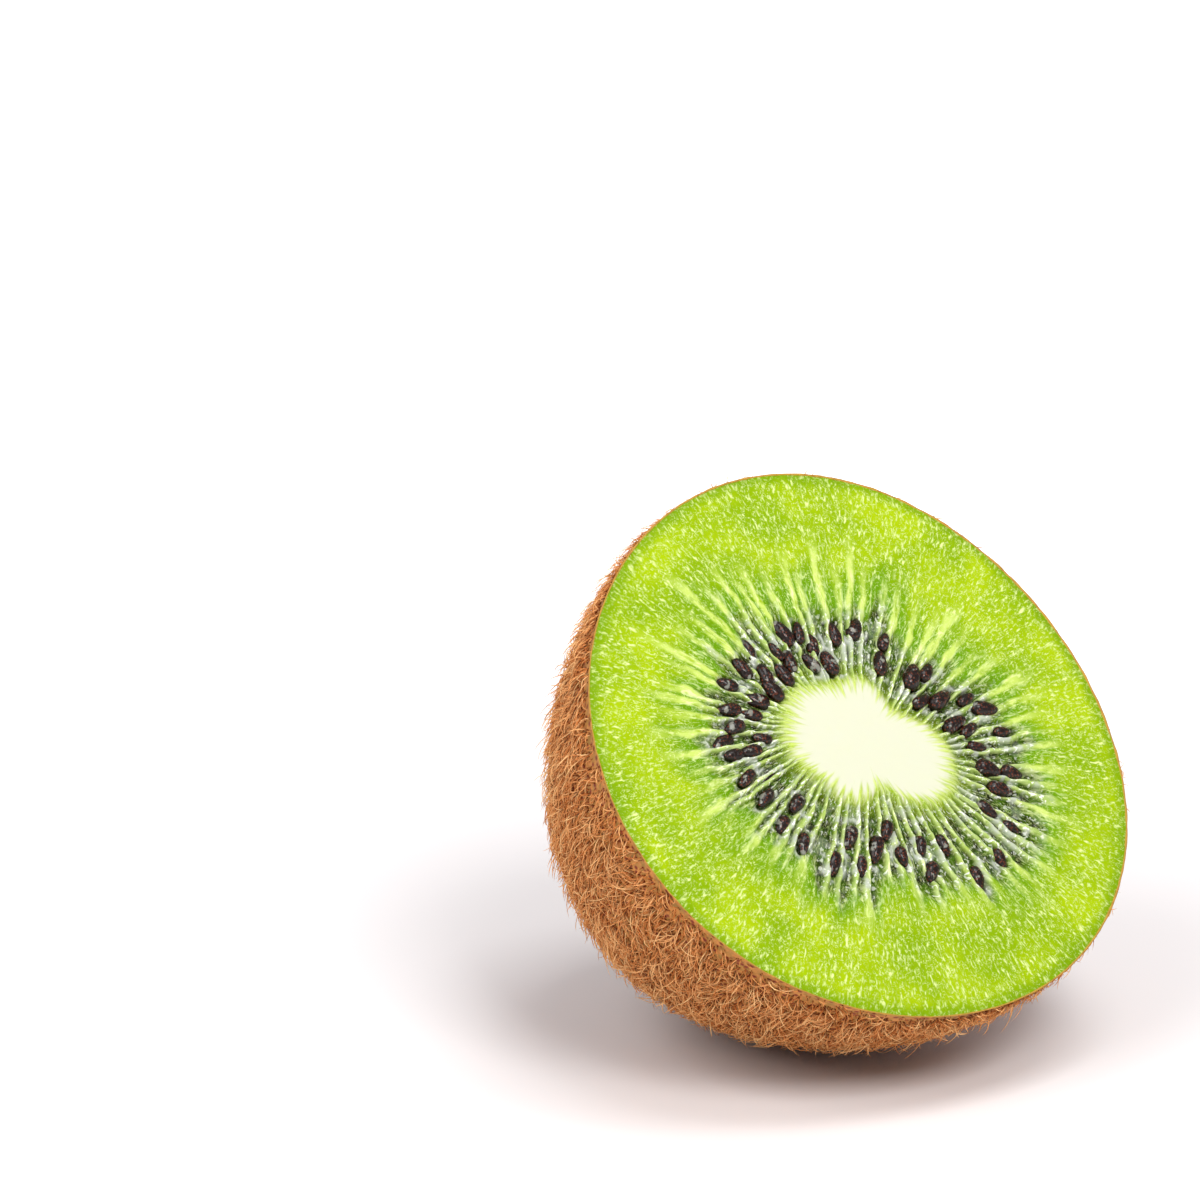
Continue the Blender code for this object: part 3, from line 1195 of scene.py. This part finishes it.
@dataclass
class CutFace:
    """The wet green face with its grain, streaks and seed chambers in real relief."""

    AMOUNTS: ClassVar[tuple[str, ...]] = (
        "lane",
        "rim",
        "streak",
        "dark",
        "wall",
        "plain",
        "fibre",
        "jelly",
        "beads",
        "heart",
    )

    cut: Cut
    seeds: list[Seed]
    around: int = 900
    rings: int = 96
    wall_rings: int = 5
    border: float = 0.0015  # share of the run; a narrow ring that keeps the edges crisp
    crowding: float = 1.3  # above 1, the rings lie closer together near the core
    wall_margin: float = 0.12  # sweep left between the wall's rings and its ends
    hollow_depth: float = 20.0 * MM
    hollow_from: float = 0.35  # breadth of the hollow's lowest ring, as a share of the core's
    hollow_to: float = 0.95
    chamber_width_mm: float = 7.7
    fray_mm: float = 5.0  # chambers and lanes end up to half of this further in or out
    grain_mm: float = 0.5
    jelly_mm: float = 0.75
    fray: Grain = Grain(13.0, 4.0, seed=1)
    slow_wander: Grain = Grain(8.0, 3.0, seed=2)
    quick_wander: Grain = Grain(22.0, 1.0, seed=10)
    long_teeth: Grain = Grain(28.0, 1.5, seed=7)
    fine_teeth: Grain = Grain(70.0, 1.0, seed=12)
    streak_tears: Grain = Grain(55.0, 0.8, seed=11)
    rib_tears: Grain = Grain(40.0, 0.9, seed=9)
    rib_half_mm: float = 0.10  # half of a wall's thickness at the core
    rib_widening: float = 0.016
    tail_half_mm: float = 0.08  # the same for the pale streak that the wall ends in
    tail_widening: float = 0.022
    tail_fade_mm: float = 5.0
    chamber_depth: float = 0.42 * MM
    grain_height: float = 0.13 * MM
    streak_height: float = 0.07 * MM
    seed_bed: float = 0.30 * MM
    bed_length: float = 0.55  # half of a bed, as a share of the seed's length
    bed_breadth: float = 0.62  # the same of its width
    buried_at: float = 0.5 * MM  # a seed that lies this deep has no bed
    brim_height: float = 0.10 * MM
    brim_at: float = 1.3  # out from the seed's middle, where the bed's own edge is at 1
    brim_breadth: float = 0.16
    rim_drop: float = 0.08 * MM

    def build(self, placing: Placing, pulp: bpy.types.Material) -> None:
        """Build the flesh and dress it in cut pulp."""
        piece = placing.put("flesh", self._shape(), pulp, Slot.FLESH)
        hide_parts("outer_flesh", "seed_flesh")

    def fields(self, turn: Array, distance: Array, spot: Array) -> dict[str, Array]:
        """Work out the relief and the colour amounts of the cut.

        Args:
            turn: Which streak each point is on.
            distance: How far out from the core's edge it is; negative in the core.
            spot: The points in the plane of the cut.

        Returns:
            Arrays by name: the height, the place in the fan, and the colour amounts.
        """
        out = distance * PER_MM
        to_skin = (self.cut.run(turn) - distance) * PER_MM
        ring = np.stack([np.cos(turn), np.sin(turn)], axis=-1)
        flat = np.concatenate([spot * PER_MM, np.zeros_like(spot[..., :1])], axis=-1)

        # The seed chambers start at the core and end unevenly. Greener lanes carry them on
        # between the streaks. The limits of every smooth step here are millimetres.
        fray = self.fray.over(turn, out)
        end = self.chamber_width_mm + self.fray_mm * fray + self.cut.swell(turn) * PER_MM
        chamber = smooth_step(-0.4, 0.9, out) * (1.0 - smooth_step(-1.8, 0.9, out - end))
        faded = smooth_step(8.0, 12.5, out - self.fray_mm * fray)
        lanes = smooth_step(-2.5, 0.5, out - end) * (1.0 - faded)
        wander = 0.05 * self.slow_wander.over(turn, out) + 0.03 * self.quick_wander.over(turn, out)
        rib, streak = self._ribs(turn, distance, wander)
        bed, brim = self._seed_beds(spot)
        # The core's edge has teeth, where the ribs grow out of it.
        long_teeth = 1.4 * self.long_teeth.over(turn, out)
        fine_teeth = 1.6 * self.fine_teeth.over(turn, out)
        heart = 1.0 - smooth_step(-1.3, 0.45, out + 0.9 * rib + long_teeth + fine_teeth - 0.4)
        # What lies on top: the grain of the pulp, blots of jelly and torn ribs and streaks.
        grain = layered_noise(flat / self.grain_mm, 6, 2) - 0.5
        rim = 1.0 - smooth_step(0.1, 1.4, to_skin + 0.5 * grain)
        jelly_blot = smooth_step(0.52, 0.72, layered_noise(flat / self.jelly_mm, 8, 3))
        frayed = smooth_step(-0.35, 0.15, self.streak_tears.over(turn, out))
        open_rib = rib * (0.8 + 1.1 * self.rib_tears.over(turn, out))
        depth_of_shade = 0.7 + 0.3 * smooth_step(0.6, 2.4, out)
        fibre = chamber * (0.1 + 0.9 * rib) + lanes * (0.45 + 0.4 * streak)
        plain = (1.0 - 0.6 * chamber) * (1.0 - 0.35 * rim) * (1.0 - 0.3 * lanes)
        height = (
            -self.chamber_depth * chamber * (1.0 - rib)
            + self.grain_height * grain * (1.0 - 0.5 * chamber) * (1.0 - 0.85 * heart)
            + self.streak_height * streak * (1.0 - chamber) * (1.0 - heart)
            - self.seed_bed * bed
            + self.brim_height * brim * chamber
            - self.rim_drop * (1.0 - smooth_step(0.0, 0.8, to_skin))
        )
        return {
            "height": height,
            "fan": np.concatenate([ring, out[..., None]], axis=-1),
            "lane": lanes * (1.0 - streak),
            "streak": np.clip(frayed * streak * (1.8 + 1.5 * fray) * (1.0 - chamber), 0.0, 1.0),
            # the chambers' deep pulp, plus painted shade in the seed beds round the seeds
            "dark": np.clip(chamber * (1.0 - rib) + 0.6 * bed, 0.0, 1.0) * depth_of_shade,
            "wall": np.clip(chamber * open_rib, 0.0, 1.0) * 0.95,
            "jelly": chamber * np.clip(0.8 * jelly_blot * (0.2 + rib + brim), 0.0, 0.9),
            "rim": 0.8 * rim,
            "heart": heart,
            "fibre": np.clip(fibre, 0.0, 1.0) * (1.0 - heart),
            # painted glints on the wet ribs of the chambers
            "beads": chamber * (0.4 + 0.6 * rib) * (1.0 - heart),
            "plain": plain * (1.0 - heart),
        }

    def _ribs(self, turn: Array, distance: Array, wander: Array) -> tuple[Array, Array]:
        """Lay the walls between the seed chambers over the cut.

        Args:
            turn: Which streak each point is on.
            distance: How far out from the core's edge it is.
            wander: A small turn that bends the walls.

        Returns:
            How much of a wall, and how much of its pale streak, is at each point.
        """
        out = distance * PER_MM
        mm_of_turn = self.cut.breadth(turn, distance) * PER_MM
        rib = np.zeros(turn.shape)
        streak = np.zeros(turn.shape)
        for wall in self.cut.ribs():
            aside = (turn + wander - wall.turn + TURN / 2) % TURN - TURN / 2
            gap = aside * mm_of_turn
            half = self.rib_half_mm + self.rib_widening * np.maximum(out, 0.0)
            body = 1.0 - smooth_step(0.55, 1.75, np.abs(gap) / half)
            rib = np.maximum(rib, (0.5 + 0.5 * wall.strength) * body)
            fade = 1.0 - smooth_step(wall.reach_mm - self.tail_fade_mm, wall.reach_mm, out)
            half = self.tail_half_mm + self.tail_widening * np.maximum(out, 0.0)
            tail = 1.0 - smooth_step(0.6, 1.6, np.abs(gap) / half)
            streak = np.maximum(streak, wall.strength * tail * fade)
        return rib, streak

    def _seed_beds(self, spot: Array) -> tuple[Array, Array]:
        """Press the flesh down under each seed and raise it round the brim.

        Args:
            spot: Points in the plane of the cut.

        Returns:
            How much each point is pressed down, and how much it is raised.
        """
        bed = np.zeros(spot.shape[:-1])
        brim = np.zeros(spot.shape[:-1])
        for seed in self.seeds:
            away = spot - seed.spot
            along = away[..., 0] * math.cos(seed.along) + away[..., 1] * math.sin(seed.along)
            aside = away[..., 1] * math.cos(seed.along) - away[..., 0] * math.sin(seed.along)
            half_length, half_width = self.bed_length * seed.length, self.bed_breadth * seed.width
            off = np.hypot(along / half_length, aside / half_width)
            bare = max(0.0, 1.0 - seed.sink / self.buried_at)
            bed = np.maximum(bed, bare * (1.0 - smooth_step(0.7, 1.2, off)))
            brim = np.maximum(brim, np.exp(-(((off - self.brim_at) / self.brim_breadth) ** 2)))
        return bed, brim

    def _shape(self) -> Shape:
        """Make the flesh: the cut face, the wall behind the skin and the hollow for the core.

        Returns:
            One closed shape with its colour values.
        """
        turn = TURN * np.arange(self.around) / self.around
        run = self.cut.run(turn)
        part = np.linspace(0.0, 1.0, self.rings - 2) ** self.crowding
        part = np.sort(np.append(part, [self.border, 1.0 - self.border]))
        distance = part[:, None] * run
        turns = np.broadcast_to(turn, distance.shape)
        spot = self.cut.spot(turns, distance)
        fields = self.fields(turns, distance, spot)
        top = np.concatenate([spot, fields.pop("height")[..., None]], axis=-1)
        narrowing = np.linspace(self.hollow_from, self.hollow_to, self.wall_rings)
        drop = -self.hollow_depth * (1.0 - narrowing**2)
        foot = self.cut.foot(turn) * narrowing[:, None, None]
        hollow = np.concatenate(
            [foot, np.broadcast_to(drop[:, None, None], foot.shape[:-1] + (1,))], axis=-1
        )
        sweep = np.linspace(self.wall_margin, TURN / 4 - self.wall_margin, self.wall_rings)
        wall = self.cut.body.skin(turn[None], sweep[:, None], self.cut.skin_thickness)
        rings = np.concatenate([hollow, top, wall])
        first_tip = np.array([0.0, 0.0, -self.hollow_depth])
        buried = self.cut.skin_thickness + self.cut.body.fuzz_depth
        last_tip = np.array([0.0, 0.0, buried - self.cut.body.length])
        stops = [first_tip, *rings[:, 0], last_tip]
        shape = loft(first_tip, rings, last_tip, arc_reaches(stops))
        for name, value in fields.items():
            shape.values[name] = carried(value, self.wall_rings, self.wall_rings)
        return shape


@dataclass
class Heart:
    """The pale core: a firm spindle that shows as a creamy oval in the cut."""

    face: CutFace
    around: int = 450
    rings: int = 22
    spindle_rings: int = 6
    middle: float = 0.04  # breadth of the innermost ring, as a share of the core's
    border: float = 0.997  # a ring next to the flesh keeps the edge crisp
    depth: float = 19.5 * MM
    spindle_from: float = 0.93
    spindle_to: float = 0.3

    def build(self, placing: Placing, pulp: bpy.types.Material) -> None:
        """Build the core and dress it in cut pulp."""
        piece = placing.put("core_heart", self._shape(), pulp, Slot.CORE)
        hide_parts("core")

    def _shape(self) -> Shape:
        """Make the core.

        Returns:
            One closed shape whose top matches the flesh around it.
        """
        cut = self.face.cut
        turn = TURN * np.arange(self.around) / self.around
        part = np.append(np.linspace(self.middle, 1.0, self.rings - 1), self.border)
        part = np.sort(part)[:, None]
        foot = cut.foot(turn)
        spot = foot * part[..., None]
        distance = -np.linalg.norm(foot, axis=-1) * (1.0 - part)
        turns = np.broadcast_to(turn, distance.shape)
        fields = self.face.fields(turns, distance, spot)
        top = np.concatenate([spot, fields.pop("height")[..., None]], axis=-1)
        narrowing = np.linspace(self.spindle_from, self.spindle_to, self.spindle_rings)
        drop = -self.depth * (1.0 - narrowing**2)
        below = np.concatenate(
            [
                foot * narrowing[:, None, None],
                np.broadcast_to(drop[:, None, None], (self.spindle_rings, self.around, 1)),
            ],
            axis=-1,
        )
        rings = np.concatenate([top, below])
        first_tip = np.array([0.0, 0.0, float(top[0, :, 2].mean())])
        last_tip = np.array([0.0, 0.0, -self.depth])
        stops = [first_tip, *rings[:, 0], last_tip]
        shape = loft(first_tip, rings, last_tip, arc_reaches(stops))
        for name, value in fields.items():
            shape.values[name] = carried(value, 0, self.spindle_rings)
        return shape


# ---------------------------------------------------------------------------------------------
# The outside
# ---------------------------------------------------------------------------------------------


@dataclass
class Skin:
    """The thin skin as a cup round the flesh, with a papery cut edge."""

    body: Body
    placing: Placing
    thickness: float = 0.14 * MM
    around: int = 400
    side_rings: int = 52
    inner_rings: int = 6
    wart_height: float = 0.09 * MM
    lip_sweep: float = 0.004  # a narrow ring next to the cut keeps its edge crisp
    outer_margin: float = 0.02  # sweep left round the blossom end
    inner_margin: float = 0.1
    wart_mm: float = 0.7
    lip_height: float = 0.12 * MM  # the knife left the lip a little uneven
    lip_mm: float = 0.8
    lip_step: float = 0.05 * MM  # how much lower its inner edge is
    ragged_mm: float = 0.6
    resting_thickness: float = 0.2 * MM  # least height of the cup's inside above the ground

    def build(self) -> None:
        """Build the skin and dress it in rind."""
        self.placing.put("skin", self._shape(), Rind().make(), Slot.SKIN)

    def _shape(self) -> Shape:
        """Make the skin.

        Returns:
            One closed cup, pressed flat where it rests, with its edge value.
        """
        turn = TURN * np.arange(self.around) / self.around
        outer_sweep = np.linspace(
            TURN / 4 - self.outer_margin, self.lip_sweep, self.side_rings - 1
        )
        outer_sweep = np.append(outer_sweep, 0.0)[:, None]
        inner_sweep = np.linspace(0.0, TURN / 4 - self.inner_margin, self.inner_rings)[:, None]
        outer = self.body.skin(turn[None], outer_sweep)
        normal = self.body.skin_normal(turn[None], outer_sweep)
        warts = layered_noise(outer * PER_MM / self.wart_mm, 21, 2) - 0.5
        outer = outer + normal * (self.wart_height * warts)[..., None]
        lip = self.lip_height * (lattice_noise(outer[-1] * PER_MM / self.lip_mm, 22) - 0.5)
        outer[-1, :, 2] = lip
        inner = self.body.skin(turn[None], inner_sweep, self.thickness)
        inner[0, :, 2] = lip - self.lip_step
        outer = self.placing.lift(outer, 0.0)
        inner = self.placing.lift(inner, self.resting_thickness)
        end = -self.body.length + self.body.fuzz_depth
        first_tip = self.placing.lift(np.array([0.0, 0.0, end]), 0.0)
        last_tip = np.array([0.0, 0.0, end + self.thickness])
        rings = np.concatenate([outer, inner])
        stops = [first_tip, *rings[:, 0], last_tip]
        shape = loft(first_tip, rings[:, ::-1], last_tip, arc_reaches(stops))
        edge = np.zeros(rings.shape[:2])
        ragged = lattice_noise(outer[-1] * PER_MM / self.ragged_mm, 23)
        edge[self.side_rings - 1 : self.side_rings + 1] = 0.5 + 0.5 * ragged
        shape.values["edge"] = np.concatenate([[0.0], edge.ravel(), [1.0]])
        return shape


@dataclass(frozen=True)
class HairKind:
    """One kind of hair in the coat, from short down to long hooks."""

    name: str
    count: int
    shortest: float
    longest: float
    thickness: float  # grown hairs are half as thick; these are drawn coarser so that they show
    joints: int  # rings of points below the tip
    lean: float  # how far a hair leans over, on the whole
    curl: float  # turn from root to tip
    seed: int
    shades: tuple[float, float]  # from rusty at 0 to straw at 1


COAT = (
    HairKind(
        "fuzz_down",
        count=14000,
        shortest=0.8 * MM,
        longest=1.4 * MM,
        thickness=0.10 * MM,
        joints=2,
        lean=1.0,
        curl=0.6,
        seed=41,
        shades=(0.0, 0.4),
    ),
    HairKind(
        "fuzz_waves",
        count=10000,
        shortest=1.3 * MM,
        longest=2.1 * MM,
        thickness=0.11 * MM,
        joints=3,
        lean=1.0,
        curl=1.1,
        seed=42,
        shades=(0.0, 0.7),
    ),
    HairKind(
        "fuzz_curls",
        count=9000,
        shortest=1.8 * MM,
        longest=2.7 * MM,
        thickness=0.11 * MM,
        joints=4,
        lean=0.95,
        curl=1.5,
        seed=43,
        shades=(0.2, 0.9),
    ),
    HairKind(
        "fuzz_hooks",
        count=6500,
        shortest=2.2 * MM,
        longest=3.2 * MM,
        thickness=0.12 * MM,
        joints=5,
        lean=0.9,
        curl=1.9,
        seed=44,
        shades=(0.4, 1.0),
    ),
)


@dataclass
class Fuzz:
    """The coat of closed three-sided tapering hairs, rooted in the skin."""

    body: Body
    placing: Placing
    kind: HairKind
    droop: float = 0.35  # how much of the curl goes back to the skin
    bare_strip: float = 0.7  # few hairs stand next to the cut, by their length
    upright_strip: float = 2.5 * MM  # hairs next to the cut stand up more
    pressed_height: float = 6.0 * MM  # lower down, the fruit's weight has worn the hairs short
    grid: tuple[int, int] = (360, 180)  # the side's cells, around and down, that roots fall in
    margin: float = 0.004  # sweep left free of roots at the cut and at the blossom end
    clump_mm: float = 3.0  # size of the denser tufts, and of the whorls
    sunk: float = 0.03 * MM
    clearance: float = 0.05 * MM
    lowest_root: float = 0.12 * MM  # above the ground that the fruit rests on
    pull_down: float = 0.7  # how much the hairs are combed down, against 1 away from the cut
    whorl_pull: float = 2.6
    stray_pull: float = 0.5
    tip_share: float = 0.45  # thickness next to the tip, as a share of the root's

    def build(self, hair: bpy.types.Material) -> None:
        """Build the hairs of one kind and dress them.

        Args:
            hair: The dry hair's finish.
        """
        rng = np.random.default_rng(self.kind.seed)
        root, normal = self._roots(rng)
        shape = self._tubes(rng, self._spines(rng, root, normal))
        self.placing.put(self.kind.name, shape, hair, Slot.FUZZ)

    def _roots(self, rng: np.random.Generator) -> tuple[Array, Array]:
        """Scatter roots evenly over the side.

        Args:
            rng: The source of chance.

        Returns:
            Root points and the skin's direction at each.
        """
        around, down = self.grid
        sweep_edges = np.linspace(self.margin, TURN / 4 - self.margin, down + 1)
        angle_edges = np.linspace(0, TURN, around + 1)
        angle, sweep = np.meshgrid((angle_edges[1:] + angle_edges[:-1]) / 2, sweep_edges[:-1])
        grid_angle, grid_sweep = np.meshgrid(angle_edges, sweep_edges)
        grid = self.body.skin(grid_angle, grid_sweep)
        one = grid[1:, :-1] - grid[:-1, :-1]
        other = grid[:-1, 1:] - grid[:-1, :-1]
        area = np.linalg.norm(np.cross(one, other), axis=-1)
        depth = -grid[:-1, :-1, 2]
        strip = self.bare_strip * self.kind.longest
        chance = area * (0.3 + 0.7 * smooth_step(0.0, strip, depth))
        clump = layered_noise(grid[:-1, :-1] * PER_MM / self.clump_mm, self.kind.seed, 2)
        chance = chance * (0.55 + 0.9 * clump)
        chance = chance * (self.placing.to_part(grid[:-1, :-1])[..., 2] > self.lowest_root)
        picked = rng.choice(chance.size, self.kind.count, p=(chance / chance.sum()).ravel())
        angle = angle.ravel()[picked] + rng.uniform(-0.5, 0.5, self.kind.count) * TURN / around
        sweep = sweep.ravel()[picked] + rng.uniform(0, 1, self.kind.count) * TURN / 4 / down
        sweep = np.minimum(sweep, TURN / 4 - self.margin)
        return self.body.skin(angle, sweep, self.sunk), self.body.skin_normal(angle, sweep)

    def _spines(self, rng: np.random.Generator, root: Array, normal: Array) -> Array:
        """Bend each hair into a curve.

        Args:
            rng: The source of chance.
            root: Root points.
            normal: The skin's direction at each root.

        Returns:
            Points along each hair, by hair and then from root to tip.
        """
        gravity = self.placing.rotation.T @ np.array([0.0, 0.0, -1.0])
        away_from_cut = np.array([0.0, 0.0, -1.0])
        spot = root * PER_MM / self.clump_mm
        whorl = np.stack([layered_noise(spot, 31 + axis, 2) - 0.5 for axis in range(3)], axis=-1)
        far = smooth_step(0.0, self.upright_strip, -root[:, 2:])
        comb = (0.15 + 0.85 * far) * away_from_cut + self.pull_down * gravity
        comb = comb + self.whorl_pull * whorl
        comb = self._along_skin(comb + self.stray_pull * rng.normal(size=root.shape), normal)
        lean = self.kind.lean * rng.uniform(0.7, 1.25, len(root))[:, None] * (0.75 + 0.25 * far)
        start = normal * np.cos(lean) + comb * np.sin(lean)
        sideways = self._along_skin(rng.normal(size=root.shape), normal)
        turned_to = unit(sideways + 0.9 * comb - self.droop * normal)
        turned_to = unit(turned_to - start * np.sum(turned_to * start, axis=-1, keepdims=True))
        bend = self.kind.curl * rng.uniform(0.4, 1.4, len(root))[:, None]
        length = rng.uniform(self.kind.shortest, self.kind.longest, len(root))[:, None]
        height = self.placing.to_part(root)[:, 2:]
        length = length * (0.6 + 0.4 * smooth_step(0.0, self.pressed_height, height))
        strip = self.bare_strip * self.kind.longest
        length = length * (0.55 + 0.45 * smooth_step(0.0, strip, -root[:, 2:]))
        spine = [
            root + length * (start * np.sin(bend * t) + turned_to * (1 - np.cos(bend * t))) / bend
            for t in np.linspace(0.0, 1.0, self.kind.joints + 1)
        ]
        return self.placing.lift(np.stack(spine, axis=1), self.clearance)

    def _along_skin(self, direction: Array, normal: Array) -> Array:
        """Lay directions flat along the skin."""
        return unit(direction - normal * np.sum(direction * normal, axis=-1, keepdims=True))

    def _tubes(self, rng: np.random.Generator, spine: Array) -> Shape:
        """Wrap each curve in a three-sided tapering tube.

        Args:
            rng: The source of chance.
            spine: Points along each hair.

        Returns:
            The hairs as one shape, mapped by shade across and by height up.
        """
        count = len(spine)
        tangent = unit(np.diff(spine, axis=1))
        helper = unit(rng.normal(size=(count, 1, 3)))
        one = unit(np.cross(tangent, helper))
        other = np.cross(tangent, one)
        taper = np.linspace(1.0, self.tip_share, self.kind.joints)
        radius = self.kind.thickness / 2 * rng.uniform(0.75, 1.25, (count, 1)) * taper
        turns = TURN * np.arange(3) / 3
        rings = (
            spine[:, :-1, None]
            + radius[..., None, None] * np.cos(turns)[:, None] * one[:, :, None]
            + radius[..., None, None] * np.sin(turns)[:, None] * other[:, :, None]
        )
        points = np.concatenate([rings.reshape(count, -1, 3), spine[:, -1:]], axis=1)
        per_hair = points.shape[1]
        base = (np.arange(count) * per_hair)[:, None, None]
        here = np.arange(3)
        ahead = (here + 1) % 3
        low = np.arange(self.kind.joints - 1)[:, None] * 3
        quads = np.stack([low + here, low + ahead, low + 3 + ahead, low + 3 + here], axis=-1)
        top = 3 * (self.kind.joints - 1)
        tip = np.stack([top + here, top + ahead, np.full(3, per_hair - 1)], axis=-1)
        triangles = np.concatenate([tip, [[2, 1, 0]]])
        faces = [
            (quads.reshape(1, -1, 4) + base).reshape(-1, 4),
            (triangles[None] + base).reshape(-1, 3),
        ]
        shade = np.interp(rng.beta(2.0, 2.0, count), (0.0, 1.0), self.kind.shades) * 0.94
        across = 0.01 * np.stack([here, here + 1, here + 1, here], axis=-1)
        level = np.linspace(0.02, 0.9, self.kind.joints)
        rise = np.stack([level[:-1], level[:-1], level[1:], level[1:]], axis=-1)
        quad_map = np.stack(
            [
                np.broadcast_to(across, (self.kind.joints - 1, 3, 4)),
                np.broadcast_to(rise[:, None], (self.kind.joints - 1, 3, 4)),
            ],
            axis=-1,
        ).reshape(1, -1, 4, 2)
        tip_map = np.stack(
            [
                np.stack([across[:, 0], across[:, 1], across[:, 0] + 0.005], axis=-1),
                np.broadcast_to([level[-1], level[-1], 0.98], (3, 3)),
            ],
            axis=-1,
        )
        base_map = np.array([[[0.0, 0.01], [0.01, 0.01], [0.005, 0.02]]])
        triangle_map = np.concatenate([tip_map, base_map])[None]
        offset = np.stack([shade, np.zeros(count)], axis=-1)[:, None, None]
        corner_map = [
            (quad_map + offset).reshape(-1, 4, 2),
            (triangle_map + offset).reshape(-1, 3, 2),
        ]
        return Shape(points.reshape(-1, 3), faces, corner_map)


# ---------------------------------------------------------------------------------------------
# Studio
# ---------------------------------------------------------------------------------------------


@dataclass(frozen=True)
class Lamp:
    """A square soft box that faces the fruit."""

    name: str
    position: tuple[float, float, float]
    size: float
    power: float

    def hang(self) -> None:
        """Hang the lamp and turn it to the fruit."""
        light = bpy.data.lights.new(self.name, "AREA")
        light.shape = "SQUARE"
        light.size = self.size
        light.energy = self.power
        lamp = bpy.data.objects.new(self.name, light)
        bpy.context.collection.objects.link(lamp)
        lamp.location = self.position
        back = np.array(self.position) / np.linalg.norm(self.position)
        turn = math.atan2(back[1], back[0]) + math.pi / 2
        lamp.rotation_euler = (math.acos(back[2]), 0.0, turn)


@dataclass(frozen=True)
class Studio:
    """A plain white sweep under soft light, seen through a long lens."""

    azimuth: float = math.radians(-35.5)
    elevation: float = math.radians(15.0)
    distance: float = 0.400
    lens: float = 148.0
    sensor: float = 36.0
    right_of_middle: float = 21.3 * MM  # the cut's middle stands this far right in the view
    below_middle: float = 11.5 * MM
    floor_size: float = 6.0
    room: str = "#FFF8FB"  # the faint pink of the fill shows in the shadow only
    room_strength: float = 0.36
    lamps: tuple[Lamp, ...] = (
        Lamp("key", (-0.12, -0.62, 0.62), size=0.30, power=4.4),
        Lamp("top", (0.05, -0.22, 0.84), size=0.35, power=2.9),
        Lamp("left_fill", (-0.60, -0.05, 0.55), size=0.5, power=2.7),
    )

    def build(self, placing: Placing) -> None:
        """Set up the floor, the lights and the camera.

        Args:
            placing: Where the fruit stands.
        """
        self._floor()
        self._lights()
        self._camera(placing.location)
        scene = bpy.context.scene
        scene.view_settings.view_transform = "Standard"

    def _floor(self) -> None:
        """Lay the white floor."""
        bpy.ops.mesh.primitive_plane_add(size=self.floor_size)
        floor = bpy.context.object
        floor.name = "floor"
        floor.data.materials.append(WhitePaper().make())

    def _lights(self) -> None:
        """Light the fruit by the soft boxes and by a white room."""
        world = bpy.data.worlds.new("white_room")
        bpy.context.scene.world = world
        world.use_nodes = True
        background = world.node_tree.nodes["Background"].inputs
        background["Color"].default_value = linear(self.room)
        background["Strength"].default_value = self.room_strength
        for lamp in self.lamps:
            lamp.hang()

    def _camera(self, aim: Array) -> None:
        """Set the camera by its angles to the middle of the cut.

        Args:
            aim: The middle of the cut in the part's frame.
        """
        cos_a, sin_a = math.cos(self.azimuth), math.sin(self.azimuth)
        cos_e, sin_e = math.cos(self.elevation), math.sin(self.elevation)
        back = np.array([sin_a * cos_e, -cos_a * cos_e, sin_e])
        right = np.array([cos_a, sin_a, 0.0])
        up = np.cross(back, right)
        middle = aim - right * self.right_of_middle + up * self.below_middle
        data = bpy.data.cameras.new("camera")
        data.lens = self.lens
        data.sensor_width = self.sensor
        data.clip_start = 0.01
        camera = bpy.data.objects.new("camera", data)
        bpy.context.collection.objects.link(camera)
        matrix = Matrix(np.stack([right, up, back], axis=1).tolist()).to_4x4()
        matrix.translation = (middle + back * self.distance).tolist()
        camera.matrix_world = matrix
        bpy.context.scene.camera = camera


def main() -> None:
    """Build the pieces of the half in order, from the inside out."""
    body = Body()
    placing = Placing.from_part(body, "outer_flesh")
    cut = Cut(body)
    seeds = Seeds(cut)
    face = CutFace(cut, seeds.bare)
    pulp = CutPulp().make()
    face.build(placing, pulp)
    Heart(face).build(placing, pulp)
    seeds.build(placing)
    Skin(body, placing).build()
    hair = DryHair().make()
    for kind in COAT:
        Fuzz(body, placing, kind).build(hair)
    Studio().build(placing)
    bpy.context.view_layer.update()


if __name__ == "__main__":
    logging.basicConfig(level=logging.INFO, format="%(name)s: %(message)s")
    main()
